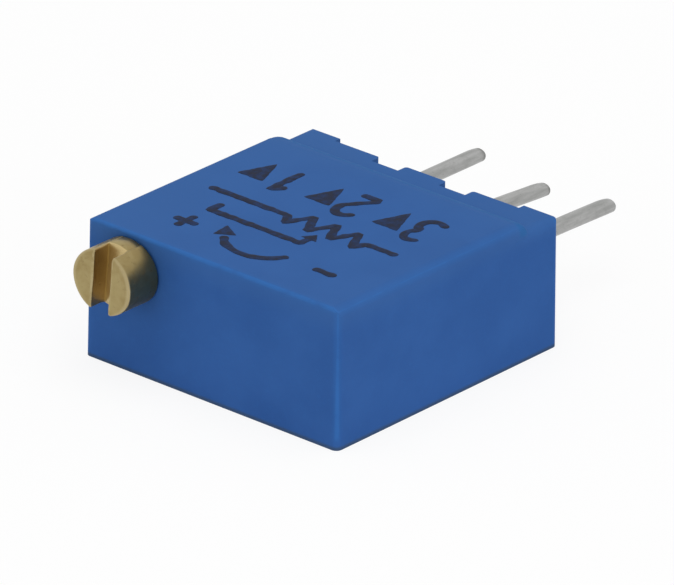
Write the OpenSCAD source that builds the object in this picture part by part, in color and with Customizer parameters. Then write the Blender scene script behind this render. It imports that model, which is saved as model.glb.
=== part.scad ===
// Multi-turn trimmer potentiometer with a square body, lying on its back face.
// X runs across the terminal row, Y from the screw face to the terminals, Z up.

/* [Body] */
// Width across the terminal row, at the back rim
body_width = 9.57; // [7.9:0.01:12]
// Depth from the screw face to the corner feet
body_depth = 9.57; // [7.9:0.01:12]
// Height of the upper face over the back face
body_height = 4.34; // [3.6:0.01:5.6]
// How far the screw face and the side faces lean in at the top
draft = 0.05; // [0:0.01:0.1]
// Radius of the corners that run up the body
edge_radius = 0.2; // [0.1:0.01:0.3]
// Radius of the long side edges of the upper face
crown_radius = 0.3; // [0.1:0.01:0.3]
// Radius of the edges over the screw face and the terminals
brow_radius = 0.1; // [0.05:0.01:0.15]
// Radius of the corners of the bosses and the feet
boss_radius = 0.1; // [0.05:0.01:0.15]
// Thickness of the side walls
wall = 0.65; // [0.5:0.01:0.8]
// Drop of the upper face beside the terminals
step_drop = 0.32; // [0.1:0.01:0.4]
// Length of the lowered strip
step_strip = 1.2; // [0.8:0.01:1.6]
// Length of the rounded slope down to the strip
step_slope = 0.7; // [0.4:0.01:1]

/* [Feet] */
// Width of each corner foot
foot_width = 1.3; // [0.8:0.01:1.6]
// How far the terminal bosses stand back from the feet
boss_recess = 0.29; // [0.05:0.01:0.3]
// Width of the gaps between the bosses
gap_width = 1; // [0.6:0.01:1.2]
// Depth of the gaps behind the feet
gap_depth = 0.65; // [0.3:0.01:0.8]
// Wall left behind the gaps
gap_wall = 0.46; // [0.3:0.01:0.6]

/* [Terminals] */
// Distance between neighbouring terminals
pin_pitch = 2.54; // [2:0.01:3.1]
// Diameter of the terminal wire
pin_diameter = 0.48; // [0.3:0.01:0.6]
// Length of the terminals beyond the feet
pin_reach = 5.1; // [2:0.1:20]
// Height of the outer terminals over the substrate
pin_lift = 0.32; // [0.24:0.01:0.45]
// How much lower the middle terminal leaves the body
middle_drop = 0.25; // [0:0.01:0.3]
// Thickness of the flattened inner end
blade_thickness = 0.28; // [0.15:0.01:0.35]
// Width of the flattened inner end
blade_width = 0.5; // [0.4:0.01:0.6]
// Height of the coined stretch that anchors a terminal in its slot
anchor_height = 0.4; // [0.3:0.01:0.5]

/* [Adjusting screw] */
// Diameter of the slotted head
head_diameter = 2.15; // [1.8:0.01:2.6]
// Length of the head in front of the body
head_reach = 1.23; // [0.8:0.01:2]
// Chamfer of the head edge
head_chamfer = 0.07; // [0.02:0.01:0.15]
// Width of the driver slot
slot_width = 0.62; // [0.4:0.01:0.8]
// Depth of the driver slot
slot_depth = 0.57; // [0.4:0.01:0.9]
// Lean of the driver slot from upright
slot_lean = 5; // [0:1:180]
// Screw axis from the near side of the body
screw_inset = 1.75; // [1.45:0.01:2]
// Screw axis below the upper face
screw_drop = 1.14; // [1.05:0.01:1.4]
// Radius of the shaft in the bore
shaft_radius = 0.76; // [0.65:0.01:0.78]
// Cord diameter of the sealing ring
ring_cord = 0.36; // [0.25:0.01:0.4]
// Radius of the neck held by the clip
neck_radius = 0.45; // [0.35:0.01:0.5]
// Thickness of the retaining clip
clip_thickness = 0.3; // [0.2:0.01:0.4]

/* [Worm drive] */
// Teeth on the worm wheel
wheel_teeth = 28; // [20:1:34]
// Pitch radius of the worm
worm_radius = 0.56; // [0.5:0.01:0.58]
// Thread height outside the pitch radius
addendum = 0.14; // [0.08:0.01:0.16]
// Thread depth inside the pitch radius
dedendum = 0.17; // [0.1:0.01:0.2]
// Height of the toothed rim
rim_height = 0.9; // [0.6:0.01:1]
// Height of the disc under the rim
carrier_height = 0.4; // [0.2:0.01:0.5]
// Radius of the pivot post
post_radius = 0.6; // [0.45:0.01:0.65]

/* [Element] */
// Thickness of the ceramic substrate
substrate_thickness = 0.6; // [0.4:0.01:0.8]
// Thickness of the printed films
film_thickness = 0.03; // [0.02:0.01:0.05]
// Width of the resistive track
track_width = 0.6; // [0.4:0.01:0.7]
// Half angle of the gap in the resistive track
track_gap = 35; // [25:1:37]
// Thickness of the wiper spring sheet
wiper_sheet = 0.08; // [0.05:0.01:0.12]
// Drop of the wiper fingers to the track
wiper_drop = 0.48; // [0.3:0.01:0.6]
// How far the potting stays below the back rim
resin_recess = 0.1; // [0.05:0.01:0.2]

/* [Fits] */
// Radial running clearance of the shaft and the tail
shaft_clearance = 0.04; // [0.02:0.01:0.08]
// Radial running clearance of the wheel on its post
pivot_clearance = 0.02; // [0.01:0.01:0.05]
// Axial play of the screw in its clip
clip_play = 0.03; // [0.01:0.01:0.05]
// Axial play of the wheel under the roof
wheel_play = 0.05; // [0.02:0.01:0.1]
// Clearance of the wiper over the films
wiper_clearance = 0.01; // [0.01:0.01:0.03]
// Clearance beside the terminals in their slots
pin_clearance = 0.02; // [0.01:0.01:0.05]
// Clearance round the substrate
substrate_clearance = 0.035; // [0.02:0.005:0.06]
// Gap under the screw head
head_gap = 0.1; // [0.02:0.01:0.2]
// Sideways backlash of the worm in the wheel, as a part of the pitch
backlash = 0.12; // [0.08:0.01:0.2]

/* [Hidden] */

// Overshoot of cutting shapes
cut = 0.5;
half_w = body_width / 2;
overall = head_reach + body_depth + pin_reach;
front_y = head_reach - overall / 2;
feet_y = front_y + body_depth;
strip_z = body_height - step_drop;
boss_y = feet_y - boss_recess;
gap_y = feet_y - gap_depth;
slope_y = feet_y - step_strip - step_slope;
slope_radius = (step_slope * step_slope + step_drop * step_drop) / (2 * step_drop);
lean = atan(draft / body_height);
// Set-back of the rolled ends of the slope
tuck = 0.01;

// Screw axis
screw_x = -half_w + screw_inset;
screw_z = body_height - screw_drop;
head_radius = head_diameter / 2;
bore_radius = shaft_radius + shaft_clearance;
channel_radius = bore_radius;
thread_radius = worm_radius + addendum;
root_radius = worm_radius - dedendum;
tail_radius = root_radius - 0.03;

// Heights of the stack, from the screw axis down
ceiling_z = screw_z + rim_height / 2 + wheel_play;
carrier_z = screw_z - rim_height / 2 - carrier_height;
film_z = carrier_z - wiper_drop - wiper_clearance;
substrate_z = film_z - film_thickness;
substrate_base_z = substrate_z - substrate_thickness;

// Pockets in the housing
ledge = 0.3;
pocket_w = half_w - wall;
pocket_front = front_y + wall;
pocket_back = gap_y - gap_wall;
room_left = screw_x - channel_radius;
room_right = pocket_w - ledge;
room_front = pocket_front + ledge;
room_back = pocket_back - ledge;

// Pads for the terminals
pad_width = 0.9;
pad_y0 = room_back - 0.85;
pad_y1 = room_back - 0.05;

// Worm wheel
room_gap = 0.15;
wheel_by_depth = (pad_y0 - room_front) / 2 - room_gap;
wheel_by_width = (room_right - room_gap - screw_x - worm_radius + addendum) / 2;
wheel_radius = min(wheel_by_depth, wheel_by_width);
wheel_pitch_radius = wheel_radius - addendum;
worm_pitch = 2 * PI * wheel_pitch_radius / wheel_teeth;
worm_lead_angle = atan(worm_pitch / (2 * PI * worm_radius));
wheel_x = screw_x + worm_radius + wheel_pitch_radius;
wheel_y = room_front + room_gap + wheel_radius;
wheel_root_radius = wheel_pitch_radius - dedendum - 0.02;
carrier_radius = wheel_radius - 0.5;
thread_root_width = 0.62 * worm_pitch;
thread_tip_width = 0.3 * worm_pitch;
thread_slope = (thread_root_width - thread_tip_width) / (addendum + dedendum);
thread_mid_width = thread_tip_width + thread_slope * addendum;
tooth_mid_width = worm_pitch - thread_mid_width - backlash * worm_pitch;
tooth_tip_width = tooth_mid_width - thread_slope * addendum;
tooth_root_width = tooth_mid_width + thread_slope * (dedendum + 0.1);

// Films
track_radius = wheel_radius - 0.7;
collector_inner = post_radius + 0.1;
collector_outer = collector_inner + 0.5;
collector_radius = (collector_inner + collector_outer) / 2;

// Stations of the screw along its axis
head_front = front_y - head_reach;
head_back = front_y - head_gap;
clip_y = room_front + 0.06;
clip_half = 0.95;
neck_front = clip_y - clip_play;
neck_back = clip_y + clip_thickness + clip_play;
flange_back = neck_back + 0.3;
worm_reach = 0.56 * wheel_radius;
tail_front = wheel_y + worm_reach + 0.35;
tail_back = tail_front + 0.7;
block_back = tail_front + 0.6;
groove_width = ring_cord + 0.06;
groove_radius = shaft_radius + 0.02 - ring_cord;
groove_y = (front_y + neck_front) / 2;

// Terminals
pin_radius = pin_diameter / 2;
pin_start = pocket_back + 0.12;
wire_start = feet_y - 0.1;
pin_end = feet_y + pin_reach;
blade_y0 = pad_y0 + 0.12;

function pin_x(n) = (n - 2) * pin_pitch;
function pin_z(n) = substrate_z + pin_lift - (n == 2 ? middle_drop : 0);

// Rectangle with rounded far corners, between a station inside the body and its far edge
module round_end(x0, y0, x1, y1, r) {
  union() {
    translate([x0, y0])
      square([x1 - x0, y1 - y0 - r]);
    translate([x0 + r, y0])
      square([x1 - x0 - 2 * r, y1 - y0]);
    for (x = [x0 + r, x1 - r])
      translate([x, y1 - r])
        circle(r = r);
  }
}

// Plan of the terminal side, with its feet, bosses and gaps
module body_plan() {
  inside = gap_y - 0.4;
  gap_near = pin_pitch / 2 - gap_width / 2;
  gap_far = pin_pitch / 2 + gap_width / 2;
  union() {
    translate([-half_w - cut, front_y - cut])
      square([body_width + 2 * cut, gap_y - front_y + cut]);
    round_end(-gap_near, inside, gap_near, boss_y, boss_radius);
    for (side = [-1, 1])
      scale([side, 1]) {
        round_end(gap_far, inside, half_w + cut, boss_y, boss_radius);
        round_end(half_w - foot_width, inside, half_w + cut, feet_y, boss_radius);
      }
  }
}

// Outline across the terminal row up to a height, with leaning sides
module body_front(h) {
  z = h - crown_radius;
  x = half_w - z * tan(lean) - crown_radius / cos(lean);
  side_x = x + crown_radius * cos(lean);
  side_z = z + crown_radius * sin(lean);
  union() {
    polygon([[-half_w, 0], [half_w, 0], [side_x, side_z], [x, h], [-x, h], [-side_x, side_z]]);
    for (side = [-1, 1])
      translate([side * x, z])
        circle(r = crown_radius);
  }
}

// Outline from the leaning screw face back to y1, up to a height
module body_side(y1, h) {
  z = h - brow_radius;
  y = front_y + z * tan(lean) + brow_radius / cos(lean);
  union() {
    polygon([
      [front_y, 0],
      [y1, 0],
      [y1, z],
      [y1 - brow_radius, h],
      [y, h],
      [y - brow_radius * cos(lean), z + brow_radius * sin(lean)]
    ]);
    for (c = [y, y1 - brow_radius])
      translate([c, z])
        circle(r = brow_radius);
  }
}

// Outline of the raised part of the body, up to the start of its slope
module body_raised() {
  intersection() {
    body_side(slope_y + 1, body_height);
    translate([front_y - cut, -cut])
      square([slope_y - front_y + cut, body_height + 2 * cut]);
  }
}

// Slope down to the strip, with its rounded ends rolling down with it
module slope_roll() {
  x = half_w - body_height * tan(lean) - tuck;
  r = slope_radius - crown_radius;
  translate([0, slope_y, body_height - slope_radius])
    rotate([0, 90, 0])
      rotate_extrude()
        union() {
          translate([0, crown_radius - x])
            square([slope_radius, 2 * x - 2 * crown_radius]);
          translate([0, -x])
            square([r, 2 * x]);
          for (side = [-1, 1])
            translate([r, side * (x - crown_radius)])
              circle(r = crown_radius);
        }
}

// Block with one outline along the terminal row and another across it
module crossed(h) {
  intersection() {
    translate([0, feet_y + cut, 0])
      rotate([90, 0, 0])
        linear_extrude(body_depth + 2 * cut)
          body_front(h);
    translate([-half_w - cut, 0, 0])
      rotate([90, 0, 90])
        linear_extrude(body_width + 2 * cut)
          children();
  }
}

// What a rounded corner takes off, leaning with its two faces
module corner_cut(lean_y) {
  rotate([-lean_y, lean, 0])
    translate([0, 0, -cut])
      linear_extrude(body_height + 2 * cut)
        difference() {
          translate([-cut, -cut])
            square([cut + edge_radius, cut + edge_radius]);
          translate([edge_radius, edge_radius])
            circle(r = edge_radius);
        }
}

module body_outside() {
  difference() {
    intersection() {
      translate([0, 0, -cut])
        linear_extrude(body_height + 2 * cut)
          body_plan();
      union() {
        crossed(strip_z)
          body_side(feet_y, strip_z);
        crossed(body_height)
          body_raised();
        slope_roll();
      }
    }
    for (side = [-1, 1])
      scale([side, 1, 1]) {
        translate([-half_w, front_y, 0])
          corner_cut(lean);
        translate([-half_w, feet_y, 0])
          scale([1, -1, 1])
            corner_cut(0);
      }
  }
}

// Slot for one terminal, open to the back
module pin_slot(n) {
  r = pin_radius + pin_clearance;
  w = max(blade_width / 2 + 0.05, r);
  y0 = room_back - cut;
  y1 = pin_start + 0.07;
  translate([pin_x(n) - w, y0, -cut])
    cube([2 * w, y1 - y0, film_z + blade_thickness + 0.03 + cut]);
  translate([pin_x(n) - r, y0, -cut])
    cube([2 * r, feet_y - y0 + cut, pin_z(n) + anchor_height / 2 + pin_clearance + cut]);
}

// Space for the mechanism, the substrate and the potting
module body_pockets() {
  translate([-pocket_w, pocket_front, -cut])
    cube([2 * pocket_w, pocket_back - pocket_front, substrate_z + cut]);
  translate([room_left, room_front, 0])
    cube([room_right - room_left, room_back - room_front, ceiling_z]);
  translate([screw_x, room_front, screw_z])
    rotate([-90, 0, 0])
      cylinder(r = channel_radius, h = tail_front - room_front);
  translate([screw_x, front_y - cut, screw_z])
    rotate([-90, 0, 0])
      cylinder(r = bore_radius, h = room_front - front_y + 2 * cut);
  for (n = [1:3])
    pin_slot(n);
}

// Bearing block for the tail of the screw
module tail_block() {
  block_half = tail_radius + 0.25;
  difference() {
    translate([room_left - 0.1, tail_front, screw_z - block_half])
      cube([screw_x - room_left + 0.1 + block_half, block_back - tail_front,
        ceiling_z - screw_z + block_half + 0.1]);
    translate([screw_x, tail_front - cut, screw_z])
      rotate([-90, 0, 0])
        cylinder(r = tail_radius + shaft_clearance, h = block_back - tail_front + 2 * cut);
  }
}

// Rib that guides the inner edge of the clip
module clip_rib() {
  translate([screw_x + clip_half - 0.15, room_front - 0.1, substrate_z])
    cube([0.35, clip_y + clip_thickness - room_front + 0.2, ceiling_z - substrate_z + 0.1]);
}

// Flat outline of the clip, seen along the screw
module clip_slab(y0, depth) {
  translate([screw_x - clip_half, y0, substrate_z + 0.02])
    cube([2 * clip_half, depth, screw_z + 0.35 - substrate_z - 0.02]);
}

module housing() {
  color([0.2, 0.36, 0.62])
    difference() {
      union() {
        difference() {
          body_outside();
          body_pockets();
        }
        translate([wheel_x, wheel_y, carrier_z + 0.05])
          cylinder(r = post_radius, h = ceiling_z - carrier_z + 0.05);
        tail_block();
        clip_rib();
      }
      clip_slab(clip_y, clip_thickness);
    }
}

// Turned body of the screw, drawn as radius against station
module screw_turning() {
  c = head_chamfer;
  translate([screw_x, 0, screw_z])
    rotate([-90, 0, 0])
      rotate_extrude()
        polygon([
          [0, head_front],
          [head_radius - c, head_front],
          [head_radius, head_front + c],
          [head_radius, head_back - c / 2],
          [head_radius - c / 2, head_back],
          [shaft_radius, head_back],
          [shaft_radius, groove_y - groove_width / 2],
          [groove_radius, groove_y - groove_width / 2],
          [groove_radius, groove_y + groove_width / 2],
          [shaft_radius, groove_y + groove_width / 2],
          [shaft_radius, neck_front],
          [neck_radius, neck_front],
          [neck_radius, neck_back],
          [thread_radius, neck_back],
          [thread_radius, flange_back],
          [root_radius, flange_back],
          [root_radius, tail_front - 0.15],
          [tail_radius, tail_front - 0.1],
          [tail_radius, tail_back - 0.06],
          [tail_radius - 0.06, tail_back],
          [0, tail_back]
        ]);
}

// Helical thread; each station has four corners
module worm_thread() {
  turns = 2 * worm_reach / worm_pitch;
  stations = ceil(turns * 20);
  inner = root_radius - 0.06;
  inner_width = thread_root_width + thread_slope * 0.06;
  function corner(i, r, w) =
    let (a = (i / stations - 0.5) * turns * 360)
    [r * cos(a), r * sin(a), worm_pitch * a / 360 + w];
  points = [for (i = [0:stations]) each [
    corner(i, inner, -inner_width / 2),
    corner(i, thread_radius, -thread_tip_width / 2),
    corner(i, thread_radius, thread_tip_width / 2),
    corner(i, inner, inner_width / 2)
  ]];
  sides = [for (i = [0:stations - 1], k = [0:3])
    let (a = 4 * i + k, b = 4 * i + (k + 1) % 4)
    each [[a, b, b + 4], [a, b + 4, a + 4]]];
  first = [[0, 2, 1], [0, 3, 2]];
  last = [[0, 1, 2], [0, 2, 3]] + 4 * stations * [[1, 1, 1], [1, 1, 1]];
  translate([screw_x, wheel_y, screw_z])
    rotate([-90, 0, 0])
      polyhedron(points = points, faces = concat(sides, first, last), convexity = 10);
}

module adjusting_screw() {
  color([0.72, 0.62, 0.35])
    difference() {
      union() {
        screw_turning();
        worm_thread();
      }
      translate([screw_x, head_front, screw_z])
        rotate([0, slot_lean, 0])
          translate([-slot_width / 2, -cut, -head_diameter])
            cube([slot_width, slot_depth + cut, 2 * head_diameter]);
    }
}

module screw_o_ring() {
  color([0.75, 0.3, 0.2])
    translate([screw_x, groove_y, screw_z])
      rotate([-90, 0, 0])
        rotate_extrude()
          translate([groove_radius + ring_cord / 2, 0])
            circle(r = ring_cord / 2);
}

module screw_clip() {
  color([0.7, 0.71, 0.73])
    difference() {
      clip_slab(clip_y, clip_thickness);
      translate([screw_x, clip_y - cut, screw_z])
        rotate([-90, 0, 0])
          cylinder(r = neck_radius + clip_play, h = clip_thickness + 2 * cut);
      translate([screw_x - neck_radius - clip_play, clip_y - cut, screw_z])
        cube([2 * (neck_radius + clip_play), clip_thickness + 2 * cut, 1]);
    }
}

// One tooth leaning with the worm
module wheel_tooth() {
  tip = wheel_radius - wheel_root_radius;
  translate([wheel_root_radius, 0, 0])
    rotate([-worm_lead_angle, 0, 0])
      translate([0, 0, -rim_height / 2 + 0.04])
        linear_extrude(rim_height - 0.08)
          polygon([
            [-0.12, -tooth_root_width / 2],
            [tip, -tooth_tip_width / 2],
            [tip, tooth_tip_width / 2],
            [-0.12, tooth_root_width / 2]
          ]);
}

module wheel_pegs(r, h) {
  for (v = [1.1, 1.75])
    translate([0.95, -v * wheel_radius / 3, carrier_z - h])
      cylinder(r = r, h = h + 0.1);
}

module worm_wheel() {
  color([0.9, 0.88, 0.8])
    translate([wheel_x, wheel_y, 0])
      difference() {
        union() {
          translate([0, 0, screw_z - rim_height / 2])
            cylinder(r = wheel_root_radius, h = rim_height);
          translate([0, 0, carrier_z])
            cylinder(r = carrier_radius, h = carrier_height + 0.1);
          for (i = [0:wheel_teeth - 1])
            translate([0, 0, screw_z])
              rotate([0, 0, 180 + (i + 0.5) * 360 / wheel_teeth])
                wheel_tooth();
          wheel_pegs(0.12, 0.18);
        }
        translate([0, 0, carrier_z - cut])
          cylinder(r = post_radius + pivot_clearance, h = rim_height + carrier_height + 2 * cut);
      }
}

// Sheet plan, seen from above, and its folded side
module wiper_plan() {
  intersection() {
    circle(r = carrier_radius - 0.02);
    union() {
      translate([0.55, -track_radius - 0.2])
        square([0.8, track_radius + 0.2 - collector_radius + 0.15]);
      for (r = [track_radius - 0.1, track_radius + 0.1, collector_radius - 0.08, collector_radius + 0.08])
        translate([-0.4, -r - 0.05])
          square([1, 0.1]);
    }
  }
}

module wiper_contact() {
  top = carrier_z;
  low = film_z + wiper_clearance;
  t = wiper_sheet;
  color([0.85, 0.72, 0.45])
    translate([wheel_x, wheel_y, 0])
      difference() {
        intersection() {
          translate([0, 0, low - cut])
            linear_extrude(top - low + cut)
              wiper_plan();
          rotate([90, 0, 0])
            linear_extrude(wheel_radius)
              polygon([
                [2, top],
                [0.6, top],
                [0, low + t * 1.15],
                [-0.24, low + t * 1.15 + 0.1],
                [-0.27, low + 0.1],
                [0, low],
                [0.62, top - t],
                [2, top - t]
              ]);
        }
        wheel_pegs(0.13, 0.3);
      }
}

module ceramic_substrate() {
  c = substrate_clearance;
  color([0.93, 0.92, 0.88])
    translate([-pocket_w + c, pocket_front + c, substrate_base_z])
      cube([2 * pocket_w - 2 * c, pocket_back - pocket_front - 2 * c, substrate_thickness]);
}

// Point on the films at an angle from the terminal side
function film_point(r, a) = [wheel_x + r * sin(a), wheel_y + r * cos(a)];

module resistive_track() {
  r0 = track_radius - track_width / 2;
  r1 = track_radius + track_width / 2;
  color([0.16, 0.15, 0.15])
    translate([0, 0, substrate_z])
      linear_extrude(film_thickness)
        difference() {
          translate([wheel_x, wheel_y])
            circle(r = r1);
          translate([wheel_x, wheel_y])
            circle(r = r0);
          polygon([
            [wheel_x, wheel_y],
            film_point(2 * r1, -track_gap),
            film_point(2 * r1, track_gap)
          ]);
        }
}

module collector_track() {
  color([0.75, 0.72, 0.66])
    translate([0, 0, substrate_z])
      linear_extrude(film_thickness)
        difference() {
          union() {
            translate([wheel_x, wheel_y])
              circle(r = collector_outer);
            polygon([
              [wheel_x - 0.25, wheel_y + collector_radius],
              [wheel_x + 0.25, wheel_y + collector_radius],
              [pad_width / 2, pad_y0],
              [pad_width / 2, pad_y1],
              [-pad_width / 2, pad_y1],
              [-pad_width / 2, pad_y0]
            ]);
          }
          translate([wheel_x, wheel_y])
            circle(r = collector_inner);
        }
}

// Conductor from one end of the track to its terminal
module end_pad(n) {
  side = n - 2;
  a = side * track_gap;
  b = side * (track_gap - 8);
  r0 = track_radius - track_width / 2;
  r1 = track_radius + track_width / 2;
  x0 = pin_x(n) - side * pad_width / 2;
  x1 = pin_x(n) + side * pad_width / 2;
  color([0.75, 0.72, 0.66])
    translate([0, 0, substrate_z])
      linear_extrude(film_thickness)
        polygon([
          film_point(r0, a),
          film_point(r1, a),
          [x1, pad_y0],
          [x1, pad_y1],
          [x0, pad_y1],
          [x0, pad_y0],
          film_point(r1, b),
          film_point(r0, b)
        ]);
}

module end_pad_1() {
  end_pad(1);
}

module end_pad_3() {
  end_pad(3);
}

// Flattened end of a terminal on its pad
module blade(n) {
  translate([pin_x(n) - blade_width / 2, blade_y0, film_z])
    cube([blade_width, pin_start - blade_y0 + 0.05, blade_thickness]);
}

module terminal(n) {
  c = pin_radius * 0.45;
  color([0.72, 0.74, 0.76])
    union() {
      blade(n);
      translate([pin_x(n) - pin_radius, pin_start, pin_z(n) - anchor_height / 2])
        cube([pin_diameter, wire_start - pin_start + 0.05, anchor_height]);
      translate([pin_x(n), 0, pin_z(n)])
        rotate([-90, 0, 0])
          rotate_extrude()
            polygon([
              [0, wire_start],
              [pin_radius, wire_start],
              [pin_radius, pin_end - c],
              [pin_radius - c * 0.3, pin_end - c * 0.3],
              [pin_radius - c, pin_end],
              [0, pin_end]
            ]);
    }
}

module terminal_1() {
  terminal(1);
}

module terminal_2() {
  terminal(2);
}

module terminal_3() {
  terminal(3);
}

// Cap of solder over the flattened end
module solder_joint(n) {
  a = 0.44;
  h = blade_thickness + 0.22;
  r = (a * a + h * h) / (2 * h);
  color([0.66, 0.67, 0.69])
    difference() {
      intersection() {
        translate([pin_x(n), (pad_y0 + pad_y1) / 2, film_z + h - r])
          sphere(r = r);
        translate([pin_x(n) - 1, pad_y0 - 1, film_z])
          cube([2, 3, 1]);
      }
      blade(n);
    }
}

module solder_joint_1() {
  solder_joint(1);
}

module solder_joint_2() {
  solder_joint(2);
}

module solder_joint_3() {
  solder_joint(3);
}

module potting_resin() {
  r = pin_radius + pin_clearance;
  color([0.27, 0.33, 0.42])
    difference() {
      union() {
        translate([-pocket_w, pocket_front, resin_recess])
          cube([2 * pocket_w, pocket_back - pocket_front, substrate_base_z - resin_recess]);
        for (n = [1:3])
          translate([pin_x(n) - r, pocket_back - 0.1, resin_recess])
            cube([2 * r, boss_y - 0.08 - pocket_back + 0.1, pin_z(n) - resin_recess]);
      }
      ceramic_substrate();
      for (n = [1:3])
        terminal(n);
    }
}

housing();
adjusting_screw();
screw_o_ring();
screw_clip();
worm_wheel();
wiper_contact();
ceramic_substrate();
resistive_track();
collector_track();
end_pad_1();
end_pad_3();
terminal_1();
terminal_2();
terminal_3();
solder_joint_1();
solder_joint_2();
solder_joint_3();
potting_resin();
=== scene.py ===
import math

import bpy
import numpy as np
from mathutils import Matrix, Vector


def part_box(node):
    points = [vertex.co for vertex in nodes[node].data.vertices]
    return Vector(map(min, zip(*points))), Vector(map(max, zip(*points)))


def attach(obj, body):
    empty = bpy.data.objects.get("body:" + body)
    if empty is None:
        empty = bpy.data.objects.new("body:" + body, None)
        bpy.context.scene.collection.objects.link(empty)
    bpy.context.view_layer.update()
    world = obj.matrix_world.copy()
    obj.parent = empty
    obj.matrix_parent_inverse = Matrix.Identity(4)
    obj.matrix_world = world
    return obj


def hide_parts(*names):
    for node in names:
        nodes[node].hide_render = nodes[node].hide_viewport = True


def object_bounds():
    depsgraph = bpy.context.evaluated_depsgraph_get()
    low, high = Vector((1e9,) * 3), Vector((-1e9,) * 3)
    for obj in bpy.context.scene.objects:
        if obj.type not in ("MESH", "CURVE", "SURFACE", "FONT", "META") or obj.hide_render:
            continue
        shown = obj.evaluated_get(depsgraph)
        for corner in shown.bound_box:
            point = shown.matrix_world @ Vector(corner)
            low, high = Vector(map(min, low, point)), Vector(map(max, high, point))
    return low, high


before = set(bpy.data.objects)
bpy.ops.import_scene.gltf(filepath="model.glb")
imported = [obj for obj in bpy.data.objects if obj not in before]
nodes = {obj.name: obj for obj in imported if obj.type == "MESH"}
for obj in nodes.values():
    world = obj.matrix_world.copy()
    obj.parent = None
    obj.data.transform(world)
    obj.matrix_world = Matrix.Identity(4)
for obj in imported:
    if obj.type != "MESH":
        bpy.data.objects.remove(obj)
cadLow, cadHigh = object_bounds()
mm = 0.001


def cornersOf(node):
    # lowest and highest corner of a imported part, in millimetres
    low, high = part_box(node)
    return low / mm, high / mm


bodyLow, bodyHigh = cornersOf("housing")
screwLow, screwHigh = cornersOf("adjusting_screw")
screwAxis = (screwLow + screwHigh) / 2
wheelLow, wheelHigh = cornersOf("worm_wheel")
wheelAxis = (wheelLow + wheelHigh) / 2


def tone(r, g, b):
    # colour from 0 to 255 as seen, to the linear colour that a shader takes
    c = np.array([r, g, b]) / 255
    c = np.where(c <= 0.04045, c / 12.92, ((c + 0.055) / 1.055) ** 2.4)
    return (*c.tolist(), 1.0)


class Wire:
    # a node's output that can stand in a sum like a number
    def __init__(self, board, socket):
        self.board, self.socket = board, socket

    def maths(self, operation, *values):
        return self.board.node("ShaderNodeMath", {"operation": operation}, dict(enumerate(values)))

    def __add__(self, other):
        return self.maths("ADD", self, other)

    def __radd__(self, other):
        return self.maths("ADD", other, self)

    def __sub__(self, other):
        return self.maths("SUBTRACT", self, other)

    def __rsub__(self, other):
        return self.maths("SUBTRACT", other, self)

    def __mul__(self, other):
        return self.maths("MULTIPLY", self, other)

    def __rmul__(self, other):
        return self.maths("MULTIPLY", other, self)

    def __pow__(self, other):
        return self.maths("POWER", self, other)

    def __rpow__(self, other):
        return self.maths("POWER", other, self)

    def __abs__(self):
        return self.maths("ABSOLUTE", self)

    def smaller(self, other):
        return self.maths("MINIMUM", self, other)

    def larger(self, other):
        return self.maths("MAXIMUM", self, other)

    def ease(self, start, end, low=0.0, high=1.0):
        # low at start and high at end, smooth between, held outside
        return self.board.node(
            "ShaderNodeMapRange", {"interpolation_type": "SMOOTHSTEP", "clamp": True},
            {"Value": self, "From Min": start, "From Max": end, "To Min": low, "To Max": high})


class Board:
    # nodes of a material or of the surround, put together one at a time
    def __init__(self, owner):
        owner.use_nodes = True
        self.tree = owner.node_tree
        self.tree.nodes.clear()

    def node(self, kind, settings, inputs, *outputs):
        made = self.tree.nodes.new(kind)
        for key, value in settings.items():
            setattr(made, key, value)
        for key, value in inputs.items():
            if isinstance(value, Wire):
                self.tree.links.new(value.socket, made.inputs[key])
            else:
                made.inputs[key].default_value = value
        found = [Wire(self, made.outputs[key]) for key in outputs or range(min(1, len(made.outputs)))]
        return found[0] if len(found) == 1 else found


class Finish(Board):
    # procedural material, read from object coordinates in millimetres
    def __init__(self, name, shown):
        self.material = bpy.data.materials.new(name)
        self.material.diffuse_color = shown
        super().__init__(self.material)
        spot = self.node("ShaderNodeTexCoord", {}, {}, "Object")
        self.place = self.node("ShaderNodeVectorMath", {"operation": "SCALE"}, {0: spot, "Scale": 1 / mm})
        self.x, self.y, self.z = self.node("ShaderNodeSeparateXYZ", {}, {0: self.place}, "X", "Y", "Z")

    def spot(self, x, y, z):
        # three numbers or wires as one place
        return self.node("ShaderNodeCombineXYZ", {}, {0: x, 1: y, 2: z})

    def noise(self, scale, detail=2.0, roughness=0.5, where=None):
        return self.node("ShaderNodeTexNoise", {}, {
            "Vector": where or self.place, "Scale": scale, "Detail": detail, "Roughness": roughness})

    def cells(self, scale):
        return self.node("ShaderNodeTexVoronoi", {}, {"Vector": self.place, "Scale": scale})

    def blend(self, amount, first, second):
        return self.node("ShaderNodeMix", {"data_type": "RGBA"}, {0: amount, 6: first, 7: second}, 2)

    def bump(self, height, depth, after=None):
        # a height of 1 stands depth millimetres proud
        inputs = {"Height": height, "Distance": depth * mm, "Strength": 1.0}
        if after:
            inputs["Normal"] = after
        return self.node("ShaderNodeBump", {}, inputs)

    def surface(self, colour, roughness, **others):
        inputs = {"Base Color": colour, "Roughness": roughness}
        inputs.update({key.replace("_", " "): value for key, value in others.items()})
        shader = self.node("ShaderNodeBsdfPrincipled", {}, inputs)
        self.node("ShaderNodeOutputMaterial", {}, {"Surface": shader})
        return self.material


def dress(material, *names):
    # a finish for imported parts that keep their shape
    for name in names:
        for slot in nodes[name].material_slots:
            slot.material = material


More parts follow.
